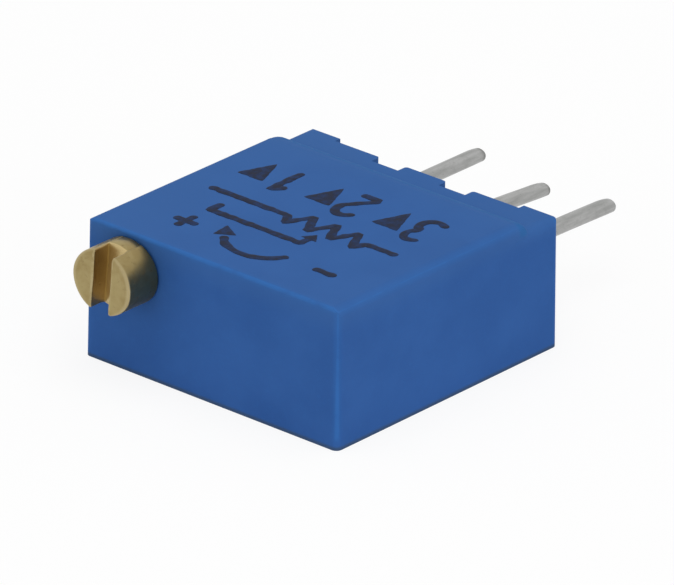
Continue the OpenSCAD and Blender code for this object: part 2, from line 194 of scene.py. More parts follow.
def skin(rows):
    # closed surface over a grid: each row is a loop of places, and the first and last row are shrunk to one place
    count, around = rows.shape[:2]
    places = np.concatenate([rows[0, :1], rows[1:-1].reshape(-1, 3), rows[-1, :1]])
    ring = np.arange(around)
    ahead = (ring + 1) % around
    start = 1 + around * np.arange(count - 3)[:, None]
    quads = np.stack([start + ring, start + ahead, start + around + ahead, start + around + ring], -1).reshape(-1, 4)
    end, tail = len(places) - 1, 1 + around * (count - 3)
    fans = np.concatenate([np.stack([0 * ring, 1 + ahead, 1 + ring], 1),
                           np.stack([0 * ring + end, tail + ring, tail + ahead], 1)])
    # six times the volume inside, to tell which way the faces look
    halves = np.concatenate([quads[:, :3], quads[:, [0, 2, 3]], fans])
    p, q, r = (places[halves[:, k]] for k in range(3))
    if (p * np.cross(q, r)).sum() < 0:
        quads, fans = quads[:, ::-1], fans[:, ::-1]
    return places, quads, fans


def makePiece(name, shells, finish, body, slot, *replaced):
    # one object from closed surfaces in millimetres, riding on a body
    places, faces, offset = [], [], 0
    for rows in shells:
        spots, quads, fans = skin(rows)
        places.append(spots)
        faces += (quads + offset).tolist() + (fans + offset).tolist()
        offset += len(spots)
    mesh = bpy.data.meshes.new(name)
    mesh.from_pydata((np.concatenate(places) * mm).tolist(), [], faces)
    mesh.polygons.foreach_set("use_smooth", np.ones(len(mesh.polygons), bool))
    mesh.materials.append(finish)
    piece = bpy.data.objects.new(name, mesh)
    bpy.context.collection.objects.link(piece)
    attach(piece, body)
    if replaced:
        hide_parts(*replaced)


def rise(values, start, end):
    # 0 at start and 1 at end, as three squares less two cubes between
    t = np.clip((values - start) / (end - start), 0, 1)
    return t * t * (3 - 2 * t)


# moulded housing, sizes in millimetres and scales in waves a millimetre; a pair of sizes is where a mask starts and
# where it is full
housingLook = {
    "blue": tone(51, 94, 159), "deepBlue": tone(46, 88, 152), "paleBlue": tone(52, 108, 178),
    "litTopBlue": tone(60, 101, 159), "slopeShadeBlue": tone(45, 97, 157), "footShadowBlue": tone(62, 78, 94),
    "cloudScale": 0.55, "speckScale": 9.0, "speckAmount": 0.18,
    "edgeBand": (0.3, 0.08), "bandAbove": (0.05, 0.4), "bandAmount": 0.22,
    "edgeLine": (0.16, 0.09), "lineAbove": (0.12, 0.4), "lineAmount": 0.7, "wearScale": 2.2,
    "litTopDepth": (0.9, 0.2), "litTopAcross": (1.0, -5.0), "litTopRight": 0.35, "litTopLeft": 0.6,
    "strip": (3.0, 1.0), "stripLit": 0.3, "slopeFront": (1.8, 1.6), "slopeBack": (1.25, 1.4),
    "slopeDepth": (0.5, 0.35), "footLine": (0.16, 0.05), "footWidth": (0.3, 0.1), "footAmount": 0.7,
    "gloss": 0.72, "specular": 0.08,
    "grainScale": 26.0, "grainDepth": 0.0016, "rippleScale": 0.7, "rippleDepth": 0.006,
}


def mouldedBlue(look):
    f = Finish("moulded blue", look["blue"])
    cloud = f.noise(look["cloudScale"], 3.0, 0.55)
    speck = f.noise(look["speckScale"], 3.0, 0.7)
    # distance to the nearest outer edge is the middle one of the distances to the three pairs of faces
    dx = bodyHigh.x - abs(f.x)
    dy = (f.y - bodyLow.y).smaller(bodyHigh.y - f.y)
    dz = f.z.smaller(bodyHigh.z - f.z)
    near = dx.smaller(dy).larger(dx.larger(dy).smaller(dz))
    patchy = f.noise(look["wearScale"], 2.0).ease(0.25, 0.6, 0.45, 1.0)
    # painted highlight: a broad pale strip over the edge roundings, and a patchy pale line along them that is partly
    # wear
    band = near.ease(*look["edgeBand"]) * look["bandAmount"]
    wornHighlight = near.ease(*look["edgeLine"]) * patchy * f.z.ease(*look["lineAbove"])
    colour = f.blend(cloud.ease(0.3, 0.7), look["deepBlue"], look["blue"])
    colour = f.blend(speck.ease(0.45, 0.8) * look["speckAmount"], colour, look["paleBlue"])
    # painted light: the upper face is paler and greyer, more towards the left and over the strip by the terminals,
    # as if lit more from behind on the left
    below, behind = bodyHigh.z - f.z, bodyHigh.y - f.y
    litTop = f.x.ease(*look["litTopAcross"], look["litTopRight"], look["litTopLeft"])
    litTop = litTop + behind.ease(*look["strip"]) * look["stripLit"]
    colour = f.blend(litTop * below.ease(*look["litTopDepth"]), colour, look["litTopBlue"])
    # painted shade: a deeper blue over the slope down to that strip holds down the light line along its ridge
    slope = behind.ease(*look["slopeFront"]) * behind.ease(*look["slopeBack"])
    colour = f.blend(slope * below.ease(*look["slopeDepth"]), colour, look["slopeShadeBlue"])
    # edges carry wear and a painted highlight in pale blue, a broad soft strip and a patchy line over the roundings,
    # but not round the foot, which has a painted dark line of contact shadow
    rubAndHighlight = (band * f.z.ease(*look["bandAbove"])).larger(wornHighlight * look["lineAmount"])
    colour = f.blend(rubAndHighlight, colour, look["paleBlue"])
    # painted contact shadow: a dark line along the foot of the side faces
    foot = f.z.ease(*look["footLine"]) * dx.smaller(dy).ease(*look["footWidth"])
    colour = f.blend(foot * look["footAmount"], colour, look["footShadowBlue"])
    # fine spark-eroded grain over a faint sink ripple
    ripple = f.bump(f.noise(look["rippleScale"], 1.0), look["rippleDepth"])
    grain = f.bump(f.noise(look["grainScale"], 2.0, 0.6), look["grainDepth"], ripple)
    rough = look["gloss"] + 0.12 * (speck - 0.5) + 0.1 * (cloud - 0.5) - 0.1 * wornHighlight
    return f.surface(colour, rough, Normal=grain, Specular_IOR_Level=look["specular"])


# brass of the adjusting screw, with pairs as above
brassLook = {
    "brass": tone(162, 146, 102), "dull": tone(150, 132, 88), "dark": tone(104, 78, 40),
    "pale": tone(188, 174, 136), "cut": tone(170, 144, 100), "floor": tone(200, 180, 130),
    "turningScale": 22.0, "turningDepth": 0.001, "mottleScale": 1.6, "stainScale": 6.0, "stainAmount": 0.3,
    "nickScale": 2.1, "nickDepth": 0.006, "nickAmount": 0.4, "lumpScale": 2.6, "lumpDepth": 0.012,
    "rimWidth": (0.16, 0.05), "rimDepth": (0.1, 0.03), "slotEdge": (0.42, 0.37), "slotInside": (0.37, 0.33),
    "rubAmount": 0.5, "slotLightAmount": 0.85, "slotFloorLightAmount": 0.8, "gloss": 0.36,
}


def turnedBrass(look):
    f = Finish("turned brass", look["brass"])
    px, pz = f.x - screwAxis.x, f.z - screwAxis.z
    radius = (px * px + pz * pz) ** 0.5
    turning = f.noise(look["turningScale"], 3.0, 0.6, f.spot(radius, f.y, 0.0))
    mottle = f.noise(look["mottleScale"], 4.0, 0.6)
    stain = f.noise(look["stainScale"], 3.0, 0.65)
    nick = f.cells(look["nickScale"]).ease(0.1, 0.03)
    # masks of the rim and of the edges of the slot, pale from rubbing, and of the slot's walls and floor, which are
    # painted lighter for the light that bounces about inside the slot
    behind, slotDepth = f.y - screwLow.y, screwLook["slotDepth"]
    rimRub = (headRadius - radius).ease(*look["rimWidth"]) * behind.ease(*look["rimDepth"])
    lean = math.radians(screwLook["slotLean"])
    across = abs(px * math.cos(lean) - pz * math.sin(lean))
    slotRub = across.ease(*look["slotEdge"]) * behind.ease(slotDepth + 0.02, slotDepth - 0.1) * stain.ease(0.3, 0.6)
    inSlot = across.ease(*look["slotInside"]) * behind.ease(0.0, 0.06)
    inSlot = inSlot * behind.ease(slotDepth + 0.06, slotDepth + 0.02)
    slotFloor = inSlot * behind.ease(slotDepth - 0.05, slotDepth - 0.01)
    colour = f.blend(mottle.ease(0.35, 0.65), look["brass"], look["dull"])
    colour = f.blend(stain.ease(0.58, 0.78) * look["stainAmount"], colour, look["dark"])
    colour = f.blend(nick * look["nickAmount"], colour, look["dark"])
    # painted light: lighter brass on the slot walls, paler still on its floor
    colour = f.blend(inSlot * look["slotLightAmount"], colour, look["cut"])
    colour = f.blend(slotFloor * look["slotFloorLightAmount"], colour, look["floor"])
    colour = f.blend(rimRub.larger(slotRub * (1.0 - inSlot)) * look["rubAmount"], colour, look["pale"])
    lines = f.bump(turning, look["turningDepth"])
    dents = f.bump(1.0 - nick, look["nickDepth"], lines)
    lumps = f.bump(f.noise(look["lumpScale"], 2.0), look["lumpDepth"], dents)
    rough = look["gloss"] + 0.14 * (mottle - 0.5) + 0.18 * stain.ease(0.55, 0.75)
    return f.surface(colour, rough, Metallic=1.0, Normal=lumps)


# the adjusting screw, sizes in millimetres; stations are counted from the face of the housing
screwLook = {
    "slotWidth": 0.62, "slotMore": 0.03, "slotDepth": 0.6, "slotLean": 4.7, "slotRound": 0.03,
    "rimRound": 0.065, "cornerPower": 15, "floorPower": 80, "floorEase": 0.12, "crown": 0.012, "headGap": 0.03,
    "lobeMiddle": 0.42, "lobeRing": 288, "faceRows": 8, "edgeRows": 9, "discInset": 0.004, "turnedRing": 96,
    "wide": 1.012, "low": 0.925, "ripple": 0.003, "rippleWaves": (3.1, 2.3, 4.3, 1.7),
    "dents": ((72, 0.75, 0.035, 0.09), (50, 0.9, 0.02, 0.16), (105, 0.3, 0.015, 0.1)),
    "shaft": 0.76, "grooveRadius": 0.42, "grooveAt": (0.28, 0.7), "neck": 0.45, "neckAt": (0.98, 1.34),
    "flangeEnd": 1.64, "threadRadius": 0.7, "rootRadius": 0.39, "threadReach": 1.697, "pitch": 0.6485,
    "threadRoot": 0.402, "threadTip": 0.195, "threadSink": 0.06, "threadEase": 0.01,
    "tail": 0.36, "tailLength": 0.7, "tailStep": (0.15, 0.1), "tailChamfer": 0.06, "cornerHold": 0.012,
}
headRadius = (screwHigh.x - screwLow.x) / 2


def headPlaces(across, along, y):
    # from measures across and along the driver slot to places; the barrel is pressed a little wide and low, and
    # each dent of turn, depth behind the face, deepness and spread sinks as a bell curve
    across, along, y = np.broadcast_arrays(across, along, y)
    lean = math.radians(screwLook["slotLean"])
    x = across * math.cos(lean) + along * math.sin(lean)
    z = along * math.cos(lean) - across * math.sin(lean)
    for turn, behind, deep, spread in screwLook["dents"]:
        cx, cz = headRadius * math.cos(math.radians(turn)), headRadius * math.sin(math.radians(turn))
        far = (x - cx) ** 2 + (z - cz) ** 2 + (y - screwLow.y - behind) ** 2
        sink = deep * np.exp(-far / spread ** 2)
        x, z = x - sink * cx / headRadius, z - sink * cz / headRadius
    a, b, c, d = screwLook["rippleWaves"]
    ripple = screwLook["ripple"] * np.sin(a * x + b * y + 1.0) * np.sin(c * z - d * y)
    return np.stack([screwAxis.x + x * screwLook["wide"] + ripple, y + ripple,
                     screwAxis.z + z * screwLook["low"] - ripple], -1)


def headLobe(look, side):
    # polar about the middle of one half of the head: the nearer of the barrel and the slot wall, joined by a
    # power mean, drawn in along a quarter round at the front edge
    half = look["slotWidth"] / 2 + (side > 0) * look["slotMore"]
    front, length = screwLow.y, bodyLow.y - look["headGap"] - screwLow.y
    middle = half + (headRadius - half) * look["lobeMiddle"]
    turn = np.linspace(0, 2 * np.pi, look["lobeRing"], endpoint=False)
    toBarrel = np.sqrt(headRadius ** 2 - (middle * np.sin(turn)) ** 2) - middle * np.cos(turn)
    toWall = (middle - half) / np.maximum(-np.cos(turn), 1e-3)
    # rows across the face, round the front edge and down the barrel
    faceRows = look["faceRows"]
    face = np.linspace(0, 1, faceRows)[:-1, None]
    edge = np.linspace(0, np.pi / 2, look["edgeRows"])[:, None]
    depth = np.array([*np.linspace(0.12, look["slotDepth"] - 0.03, 6), look["slotDepth"], length - 0.02,
                      length])[:, None]
    soft = look["cornerPower"]
    hard = soft + look["floorPower"] * rise(depth, look["slotDepth"] - look["floorEase"], look["slotDepth"])
    outline = (toBarrel ** -soft + toWall ** -soft) ** (-1 / soft)
    barrel = (toBarrel ** -hard + toWall ** -hard) ** (-1 / hard)
    shares = toWall ** soft / (toBarrel ** soft + toWall ** soft)
    rounding = look["slotRound"] + (look["rimRound"] - look["slotRound"]) * shares
    reach = np.concatenate([face * (outline - rounding), outline - rounding * (1 - np.sin(edge)), barrel,
                            0 * outline[None]])
    y = np.concatenate([0 * face + 0 * rounding, rounding * (1 - np.cos(edge)), depth + 0 * rounding,
                        length + 0 * outline[None]])
    y[:faceRows] += look["crown"] * (1 - (reach[:faceRows] / outline) ** 2)
    return headPlaces(side * (middle + reach * np.cos(turn)), reach * np.sin(turn), front + y)


def turned(profile, place):
    # profile of radius and station, carried round the axis of the screw
    turn = np.linspace(0, 2 * np.pi, screwLook["turnedRing"], endpoint=False)
    radius, station = np.array(profile).T[:, :, None]
    return place(radius * np.cos(turn), radius * np.sin(turn), station + 0 * turn)


def shaftPlaces(across, along, y):
    # from measures across the axis of the screw to places
    return np.stack([screwAxis.x + across, y, screwAxis.z + along], -1)


def screwThread(look):
    # six corners of the thread carried round and along by one pitch a turn
    turns = 2 * look["threadReach"] / look["pitch"]
    turn = np.linspace(-np.pi, np.pi, 200)[:, None] * turns
    outer, inner, ease = look["threadRadius"], look["rootRadius"] - look["threadSink"], look["threadEase"]
    tip = look["threadTip"] / 2
    flank = (look["threadRoot"] / 2 - tip) / (outer - look["rootRadius"])
    wide = look["threadRoot"] / 2 + look["threadSink"] * flank
    radius = np.array([inner, outer - ease, outer, outer, outer - ease, inner])
    shift = np.array([-wide, -tip - 0.8 * ease, ease - tip, tip - ease, tip + 0.8 * ease, wide])
    rows = np.stack([screwAxis.x + radius * np.cos(turn), wheelAxis.y + look["pitch"] * turn / (2 * np.pi) + shift,
                     screwAxis.z - radius * np.sin(turn)], -1)
    ends = rows[[0, -1]].mean(1, keepdims=True) + 0 * rows[[0, -1]]
    return np.concatenate([ends[:1], rows, ends[1:]])


def makeScrew(look):
    body, end = bodyLow.y, screwHigh.y
    floor, back = screwLow.y + look["slotDepth"], body - look["headGap"]
    # the disc that closes the slot, just inside the barrel
    inside = headRadius - look["discInset"]
    slotFloor = [(0, floor), (inside * 0.5, floor), (inside - 0.01, floor), (inside, floor + 0.01),
                 (inside, back - 0.02), (inside - 0.02, back), (0, back)]
    # steps of the shaft, from under the head to the tail
    shaft, root, tail, chamfer = look["shaft"], look["rootRadius"], look["tail"], look["tailChamfer"]
    groove, neck = (body + np.array(look[key]) for key in ("grooveAt", "neckAt"))
    start, tailStart, flange = back - 0.03, end - look["tailLength"], body + look["flangeEnd"]
    path = np.array([
        (shaft, start), (shaft, groove[0]), (look["grooveRadius"], groove[0]), (look["grooveRadius"], groove[1]),
        (shaft, groove[1]), (shaft, neck[0]), (look["neck"], neck[0]), (look["neck"], neck[1]),
        (look["threadRadius"], neck[1]), (look["threadRadius"], flange), (root, flange),
        (root, tailStart - look["tailStep"][0]), (tail, tailStart - look["tailStep"][1]), (tail, end - chamfer),
        (tail - chamfer, end)])
    # each step is held by a pair of rings close to its corner
    lead = np.diff(path, axis=0)
    lead *= look["cornerHold"] / np.linalg.norm(lead, axis=1, keepdims=True)
    near = np.stack([path[:-1] + lead, path[1:] - lead], 1).reshape(-1, 2)
    profile = [(0, start), *near.tolist(), (0, end)]
    shells = [headLobe(look, -1), headLobe(look, 1), turned(slotFloor, headPlaces), turned(profile, shaftPlaces),
              screwThread(look)]
    makePiece("slotted_screw", shells, turnedBrass(brassLook), "screw", "brass", "adjusting_screw")


makeScrew(screwLook)
print("adjusting screw turned")


# tinned copper of the terminals
tinLook = {
    "tin": tone(174, 174, 173), "grey": tone(146, 147, 145), "dark": tone(88, 87, 84), "gloss": 0.4,
    "streakScale": 7.0, "streakAmount": 0.8, "streakDepth": 0.003, "stretch": 0.1,
    "blotchScale": 3.2, "blotchAmount": 0.4, "blotchDepth": 0.012, "pitScale": 26.0, "pitAmount": 0.4,
    "cutScale": 5.0, "cutFrom": 0.2,
}
wireEnd = cornersOf("terminal_1")[1].y


def tinnedWire(look):
    f = Finish("tinned wire", look["tin"])
    along = f.node("ShaderNodeVectorMath", {"operation": "MULTIPLY"}, {0: f.place, 1: (1.0, look["stretch"], 1.0)})
    streak = f.noise(look["streakScale"], 4.0, 0.6, along)
    blotch = f.noise(look["blotchScale"], 3.0, 0.6)
    pit = f.noise(look["pitScale"], 2.0).ease(0.64, 0.74)
    colour = f.blend(streak.ease(0.3, 0.7) * look["streakAmount"], look["tin"], look["grey"])
    colour = f.blend(blotch.ease(0.55, 0.75) * look["blotchAmount"], colour, look["grey"])
    colour = f.blend(pit * look["pitAmount"], colour, look["dark"])
    # darker in patches towards the cut end
    endPatches = f.noise(look["cutScale"], 2.0).ease(0.35, 0.6, 0.5, 1.0)
    colour = f.blend(f.y.ease(wireEnd - look["cutFrom"], wireEnd - 0.03) * endPatches, colour, look["dark"])
    drawn = f.bump(streak, look["streakDepth"])
    dips = f.bump(blotch, look["blotchDepth"], drawn)
    rough = look["gloss"] + 0.16 * (blotch - 0.5) + 0.12 * pit
    return f.surface(colour, rough, Metallic=1.0, Normal=dips)


# terminals, sizes in millimetres, outer, middle and outer wire in turn
wireLook = {
    "radius": (0.234, 0.23, 0.24), "cutShort": (0.0, 0.05, 0.14), "arch": (0.0, 0.105, 0.045),
    "archSpan": (4.0, 3.96, 3.6), "wander": 0.006, "drag": 0.3, "dragLength": 0.55, "endRound": 0.03,
    "lipLoss": 0.12, "axisBelowTop": 0.24, "pocketDepth": 0.99, "anchorHigh": 0.4, "anchorWide": 0.48,
    "bladeThick": 0.28, "bladeWide": 0.5, "bladePower": 9, "roundFrom": 0.12, "roundBy": 0.04,
    "liftFrom": 0.3, "liftBy": 0.02, "ring": 56,
}


def wireRows(look, index, low, high):
    # flattened ring carried along the terminal: a power ellipse that runs from a flat blade to a round wire, with
    # the upper side dragged down towards the cut end
    end, endRound = high.y - look["cutShort"][index], look["endRound"]
    feet, pocket = bodyHigh.y, bodyHigh.y - look["pocketDepth"]
    # stations along the terminal, closer together where the shape changes
    y = np.concatenate([low.y + 0.03 * (1 - np.cos(np.linspace(0, np.pi / 2, 5))),
                        np.linspace(low.y + 0.06, pocket, 14), np.linspace(pocket + 0.03, feet, 16),
                        np.linspace(feet + 0.05, end - 0.6, 60), np.linspace(end - 0.58, end - endRound, 24),
                        end - endRound * (1 - np.sin(np.linspace(0.2, np.pi / 2, 6)))])[:, None]
    # shares of the round wire, of the raised anchor and of the full blade
    wire = rise(y, feet - look["roundFrom"], feet - look["roundBy"])
    lift = rise(y, pocket - look["liftFrom"], pocket - look["liftBy"])
    start = rise(y, low.y - 0.01, low.y + 0.05)
    wide = (look["bladeWide"] * (1 - lift) + look["anchorWide"] * lift) / 2 * (1 - wire)
    thick = (look["bladeThick"] * (1 - lift) + look["anchorHigh"] * lift) / 2 * (1 - wire)
    wide, thick = wide + look["radius"][index] * wire, thick + look["radius"][index] * wire
    power = look["bladePower"] * (1 - wire) + 2 * wire
    past = np.clip(y - feet, 0, None)
    level = high.z - look["axisBelowTop"] + look["arch"][index] * np.sin(np.pi * past / look["archSpan"][index])
    centre = (low.z + look["bladeThick"] / 2) * (1 - lift) + level * lift
    drag = look["drag"] * np.clip((y - end + look["dragLength"]) / look["dragLength"], 0, 1) ** 2
    lip = 1 - look["lipLoss"] * np.clip((y - end + endRound) / endRound, 0, 1) ** 2
    turn = np.linspace(0, 2 * np.pi, look["ring"], endpoint=False)
    c, s = np.cos(turn), np.sin(turn)
    across = np.sign(c) * np.abs(c) ** (2 / power)
    up = np.sign(s) * np.abs(s) ** (2 / power)
    up = np.where(up > 0, up * (1 - drag), up)
    wander = look["wander"] * np.sin(1.7 * past + 2 * index)
    rows = np.stack(np.broadcast_arrays((low.x + high.x) / 2 + wander + wide * start * lip * across, y,
                                        centre + thick * (0.3 + 0.7 * start) * lip * up), -1)
    ends = rows[[0, -1]].mean(1, keepdims=True) + 0 * rows[[0, -1]]
    return np.concatenate([ends[:1], rows, ends[1:]])


tinned = tinnedWire(tinLook)
for index in range(3):
    node = f"terminal_{index + 1}"
    rows = wireRows(wireLook, index, *cornersOf(node))
    makePiece(f"wire_{index + 1}", [rows], tinned, "case", "tinned_wire", node)
print("terminals drawn")


# ink of the marks on the upper face
inkLook = {
    "ink": tone(16, 24, 46), "thin": tone(26, 50, 92), "gloss": 0.6, "specular": 0.12,
    "patchScale": 5.0, "patchAmount": 0.7, "fleckScale": 30.0, "fleckAmount": 0.4, "fleckDepth": 0.002,
}


def printedInk(look):
    f = Finish("printed ink", look["ink"])
    patch = f.noise(look["patchScale"], 3.0, 0.6)
    fleck = f.noise(look["fleckScale"], 2.0, 0.6)
    colour = f.blend(patch.ease(0.38, 0.68) * look["patchAmount"], look["ink"], look["thin"])
    colour = f.blend(fleck.ease(0.6, 0.75) * look["fleckAmount"], colour, look["thin"])
    rough = look["gloss"] + 0.2 * (patch - 0.5)
    return f.surface(colour, rough, Normal=f.bump(fleck, look["fleckDepth"]), Specular_IOR_Level=look["specular"])


# marks, in millimetres from the left front corner of the upper face; rows are counted from the screw face
markLook = {
    "line": 0.27, "thick": 0.006, "thicker": 0.06, "uneven": 0.16, "wander": 0.012, "stepLength": 0.035,
    "waveLength": 0.16, "patchPower": 14, "patchWaves": (0.02, 0.015),
    "seed": 7, "numberRow": 6.4, "numberHigh": 1.45, "numberWide": 1.15, "numberAside": 0.45,
    "pointerAside": 0.6, "pointerWide": 0.5, "pointerHigh": 1.25,
    "symbolRow": 4.32, "symbolRight": 8.35, "turnRow": 2.3, "minusAt": 8.0, "turnAt": 4.95, "plusAt": 2.35,
}


def bow(cx, cy, rx, ry, start, end, count=24):
    # part of an ellipse: its middle and half sizes, then the first and last angle in degrees
    turn = np.radians(np.linspace(start, end, count))
    return np.stack([cx + rx * np.cos(turn), cy + ry * np.sin(turn)], 1)


def markPlaces(flat, up):
    # from the plane of the marks to the upper face
    x, y, z = bodyLow.x + flat[..., 0], bodyLow.y + flat[..., 1], bodyHigh.z + up
    return np.stack(np.broadcast_arrays(x, y, z), -1)


def inkLine(path, look, chance, index):
    # flat tube along the path, with round ends, an uneven width and one of four thicknesses, so that no two lines
    # that cross lie in one plane
    path = np.asarray(path, float)
    run = np.concatenate([[0], np.cumsum(np.linalg.norm(np.diff(path, axis=0), axis=1))])
    count = max(12, int(run[-1] / look["stepLength"]))
    # stations crowd towards both ends
    s = run[-1] * (1 - np.cos(np.linspace(0, np.pi, count))) / 2
    s = 0.5 * s + 0.5 * np.linspace(0, run[-1], count)
    centre = np.stack([np.interp(s, run, path[:, k]) for k in (0, 1)], 1)
    along = np.gradient(centre, axis=0)
    along /= np.linalg.norm(along, axis=1, keepdims=True)
    side = np.stack([-along[:, 1], along[:, 0]], 1)
    waves = max(4, int(run[-1] / look["waveLength"]))
    wobble = np.interp(s, np.linspace(0, run[-1], waves), chance.uniform(-1, 1, waves))
    half = look["line"] / 2 * (1 + look["uneven"] * wobble)
    centre = centre + side * (look["wander"] * np.roll(wobble, 3))[:, None]
    ends = np.minimum(np.minimum(s, run[-1] - s) / (look["line"] * 0.5), 1)
    close = np.sqrt(1 - (1 - ends) ** 2)
    turn = np.linspace(0, 2 * np.pi, 14, endpoint=False)
    flat = centre[:, None] + side[:, None] * ((half * close)[:, None] * np.cos(turn))[..., None]
    thick = look["thick"] * (1 + look["thicker"] * (index % 4))
    return markPlaces(flat, thick * close[:, None] * np.sin(turn))


def inkPatch(corners, look, chance):
    # flat cushion inside a rounded outline: polar about its middle, swelling from the rim to the middle
    corners = np.asarray(corners, float)
    middle = corners.mean(0)
    turn = np.linspace(0, 2 * np.pi, 72, endpoint=False)
    ray = np.stack([np.cos(turn), np.sin(turn)], 1)
    edge = np.roll(corners, -1, 0) - corners
    outward = np.stack([edge[:, 1], -edge[:, 0]], 1) / np.linalg.norm(edge, axis=1, keepdims=True)
    span = ((corners - middle) * outward).sum(1)
    outward, span = outward * np.sign(span)[:, None], np.abs(span)
    # a power mean of the distances to the sides rounds the corners
    facing = np.maximum(ray @ outward.T, 1e-3)
    power, (wide, fine) = look["patchPower"], look["patchWaves"]
    reach = ((facing / span) ** power).sum(1) ** (-1 / power)
    reach = reach * (1 + wide * np.sin(5 * turn + chance.uniform(0, 6)) + fine * np.sin(11 * turn))
    level = np.linspace(-np.pi / 2, np.pi / 2, 13)[:, None]
    flat = middle + (np.cos(level) ** 0.5 * reach)[..., None] * ray
    return markPlaces(flat, look["thick"] * np.sin(level) + 0 * turn)


def makeMarks(look):
    chance = np.random.default_rng(look["seed"])
    numerals = {
        "1": [[(-0.24, 0.74), (0.06, 1.0), (0.06, 0.0)]],
        "2": [np.concatenate([bow(0, 0.72, 0.3, 0.28, 165, -35), [(-0.3, 0.0)]]), [(-0.3, 0.0), (0.34, 0.0)]],
        "3": [bow(-0.02, 0.755, 0.28, 0.245, 150, -80), bow(-0.02, 0.26, 0.32, 0.26, 80, -150)],
    }
    shells = []

    def draw(path, right, row, wide=1.0, high=1.0):
        # a line that runs left from right and up from the row towards the screw face
        path = np.asarray(path, float)
        spots = np.stack([right - path[:, 0] * wide, row - path[:, 1] * high], 1)
        shells.append(inkLine(spots, look, chance, len(shells)))

    def fill(corners):
        shells.append(inkPatch(corners, look, chance))

    # terminal numbers, each with a pointer beside it
    row, wide, high = look["numberRow"], look["pointerWide"], look["pointerHigh"]
    for text, paths in numerals.items():
        low, top = cornersOf(f"terminal_{text}")
        x = (low.x + top.x) / 2 - bodyLow.x
        for path in paths:
            draw(path, x + look["numberAside"], row, look["numberWide"], look["numberHigh"])
        tip, foot = x - look["pointerAside"], row + 0.02
        fill([(tip, foot), (tip + wide, foot - high), (tip - wide, foot - high)])
    # resistor with its sliding contact
    row, right = look["symbolRow"], look["symbolRight"]
    peaks = [(1.35 + 0.42 * k, 0.42 + 0.4 * (-1) ** k) for k in range(7)]
    draw([(0, 0.42), (1.15, 0.42), *peaks, (4.1, 0.42), (7.1, 0.42)], right, row)
    draw([(2.6, 1.0), (2.6, 1.6), (6.0, 1.6), (6.0, 1.05)], right, row)
    fill([(right - 2.6, row - 0.86), (right - 2.3, row - 1.26), (right - 2.9, row - 1.26)])
    # way to turn, from less to more
    row, bend, plus = look["turnRow"], look["turnAt"], look["plusAt"]
    draw([(0, 0.62), (0.85, 0.62)], look["minusAt"], row)
    draw(bow(0, 0.1, 1.25, 1.15, 160, 28), bend, row)
    fill([(bend - 1.53, row - 0.05), (bend - 1.45, row - 0.78), (bend - 0.85, row - 0.42)])
    draw([(-0.45, 0.62), (0.45, 0.62)], plus, row)
    draw([(0, 0.17), (0, 1.07)], plus, row)
    makePiece("ink_marks", shells, printedInk(inkLook), "case", "housing")


makeMarks(markLook)
print("marks printed")


# potting resin under the body and in the terminal slots
resinLook = {
    "resin": tone(44, 62, 92), "milky": tone(78, 96, 124), "gloss": 0.24, "specular": 0.4,
    "cloudScale": 0.9, "cloudAmount": 0.6, "bubbleScale": 2.6, "bubbleAmount": 0.5, "bubbleDepth": 0.03,
    "swellScale": 0.8, "swellDepth": 0.06,
}


def pottingResin(look):
    f = Finish("potting resin", look["resin"])
    cloud = f.noise(look["cloudScale"], 4.0, 0.6)
    bubble = f.cells(look["bubbleScale"]).ease(0.16, 0.05)
    colour = f.blend(cloud.ease(0.4, 0.75) * look["cloudAmount"], look["resin"], look["milky"])
    colour = f.blend(bubble * look["bubbleAmount"], colour, look["milky"])
    swell = f.bump(f.noise(look["swellScale"], 1.0), look["swellDepth"])
    craters = f.bump(1.0 - bubble, look["bubbleDepth"], swell)
    rough = look["gloss"] + 0.25 * cloud.ease(0.45, 0.8)
    return f.surface(colour, rough, Normal=craters, Specular_IOR_Level=look["specular"])


# parts inside the body: finish, main and second colour, gloss, metal, grain in waves a millimetre, depth of the
# grain in millimetres, share of the second colour in its specks, and the nodes that wear it
innerLook = {
    "sintered alumina": (tone(232, 229, 218), tone(208, 203, 188), 0.6, 0.0, 14.0, 0.003, 0.4,
                         ["ceramic_substrate"]),
    "fired resistor": (tone(52, 50, 52), tone(86, 84, 84), 0.42, 0.0, 18.0, 0.002, 0.4, ["resistive_track"]),
    "fired silver": (tone(196, 192, 180), tone(150, 144, 130), 0.45, 0.85, 16.0, 0.003, 0.4,
                     ["collector_track", "end_pad_1", "end_pad_3"]),
    "moulded nylon": (tone(226, 221, 204), tone(198, 190, 168), 0.5, 0.0, 8.0, 0.003, 0.4, ["worm_wheel"]),
    "spring alloy": (tone(208, 178, 118), tone(160, 128, 78), 0.28, 1.0, 20.0, 0.0015, 0.4, ["wiper_contact"]),
    "silicone rubber": (tone(138, 58, 44), tone(170, 104, 90), 0.62, 0.0, 20.0, 0.002, 0.25, ["screw_o_ring"]),
    "reflowed solder": (tone(176, 178, 180), tone(130, 132, 134), 0.3, 1.0, 7.0, 0.004, 0.4,
                        ["solder_joint_1", "solder_joint_2", "solder_joint_3"]),
    "stamped steel": (tone(178, 180, 184), tone(128, 130, 136), 0.34, 1.0, 12.0, 0.002, 0.4, ["screw_clip"]),
}


def innerFinish(name, main, second, gloss, metal, grain, depth, specks):
    # cloudy and speckled finish of two colours with a grain of its own scale
    f = Finish(name, main)
    cloud = f.noise(grain * 0.2, 3.0, 0.6)
    speck = f.noise(grain, 3.0, 0.65)
    colour = f.blend(cloud.ease(0.35, 0.7) * 0.8, main, second)
    colour = f.blend(speck.ease(0.58, 0.75) * specks, colour, second)
    waves = f.bump(cloud, depth * 3)
    rough = gloss + 0.2 * (cloud - 0.5) + 0.1 * (speck - 0.5)
    return f.surface(colour, rough, Metallic=metal, Normal=f.bump(speck, depth, waves), Specular_IOR_Level=0.4)


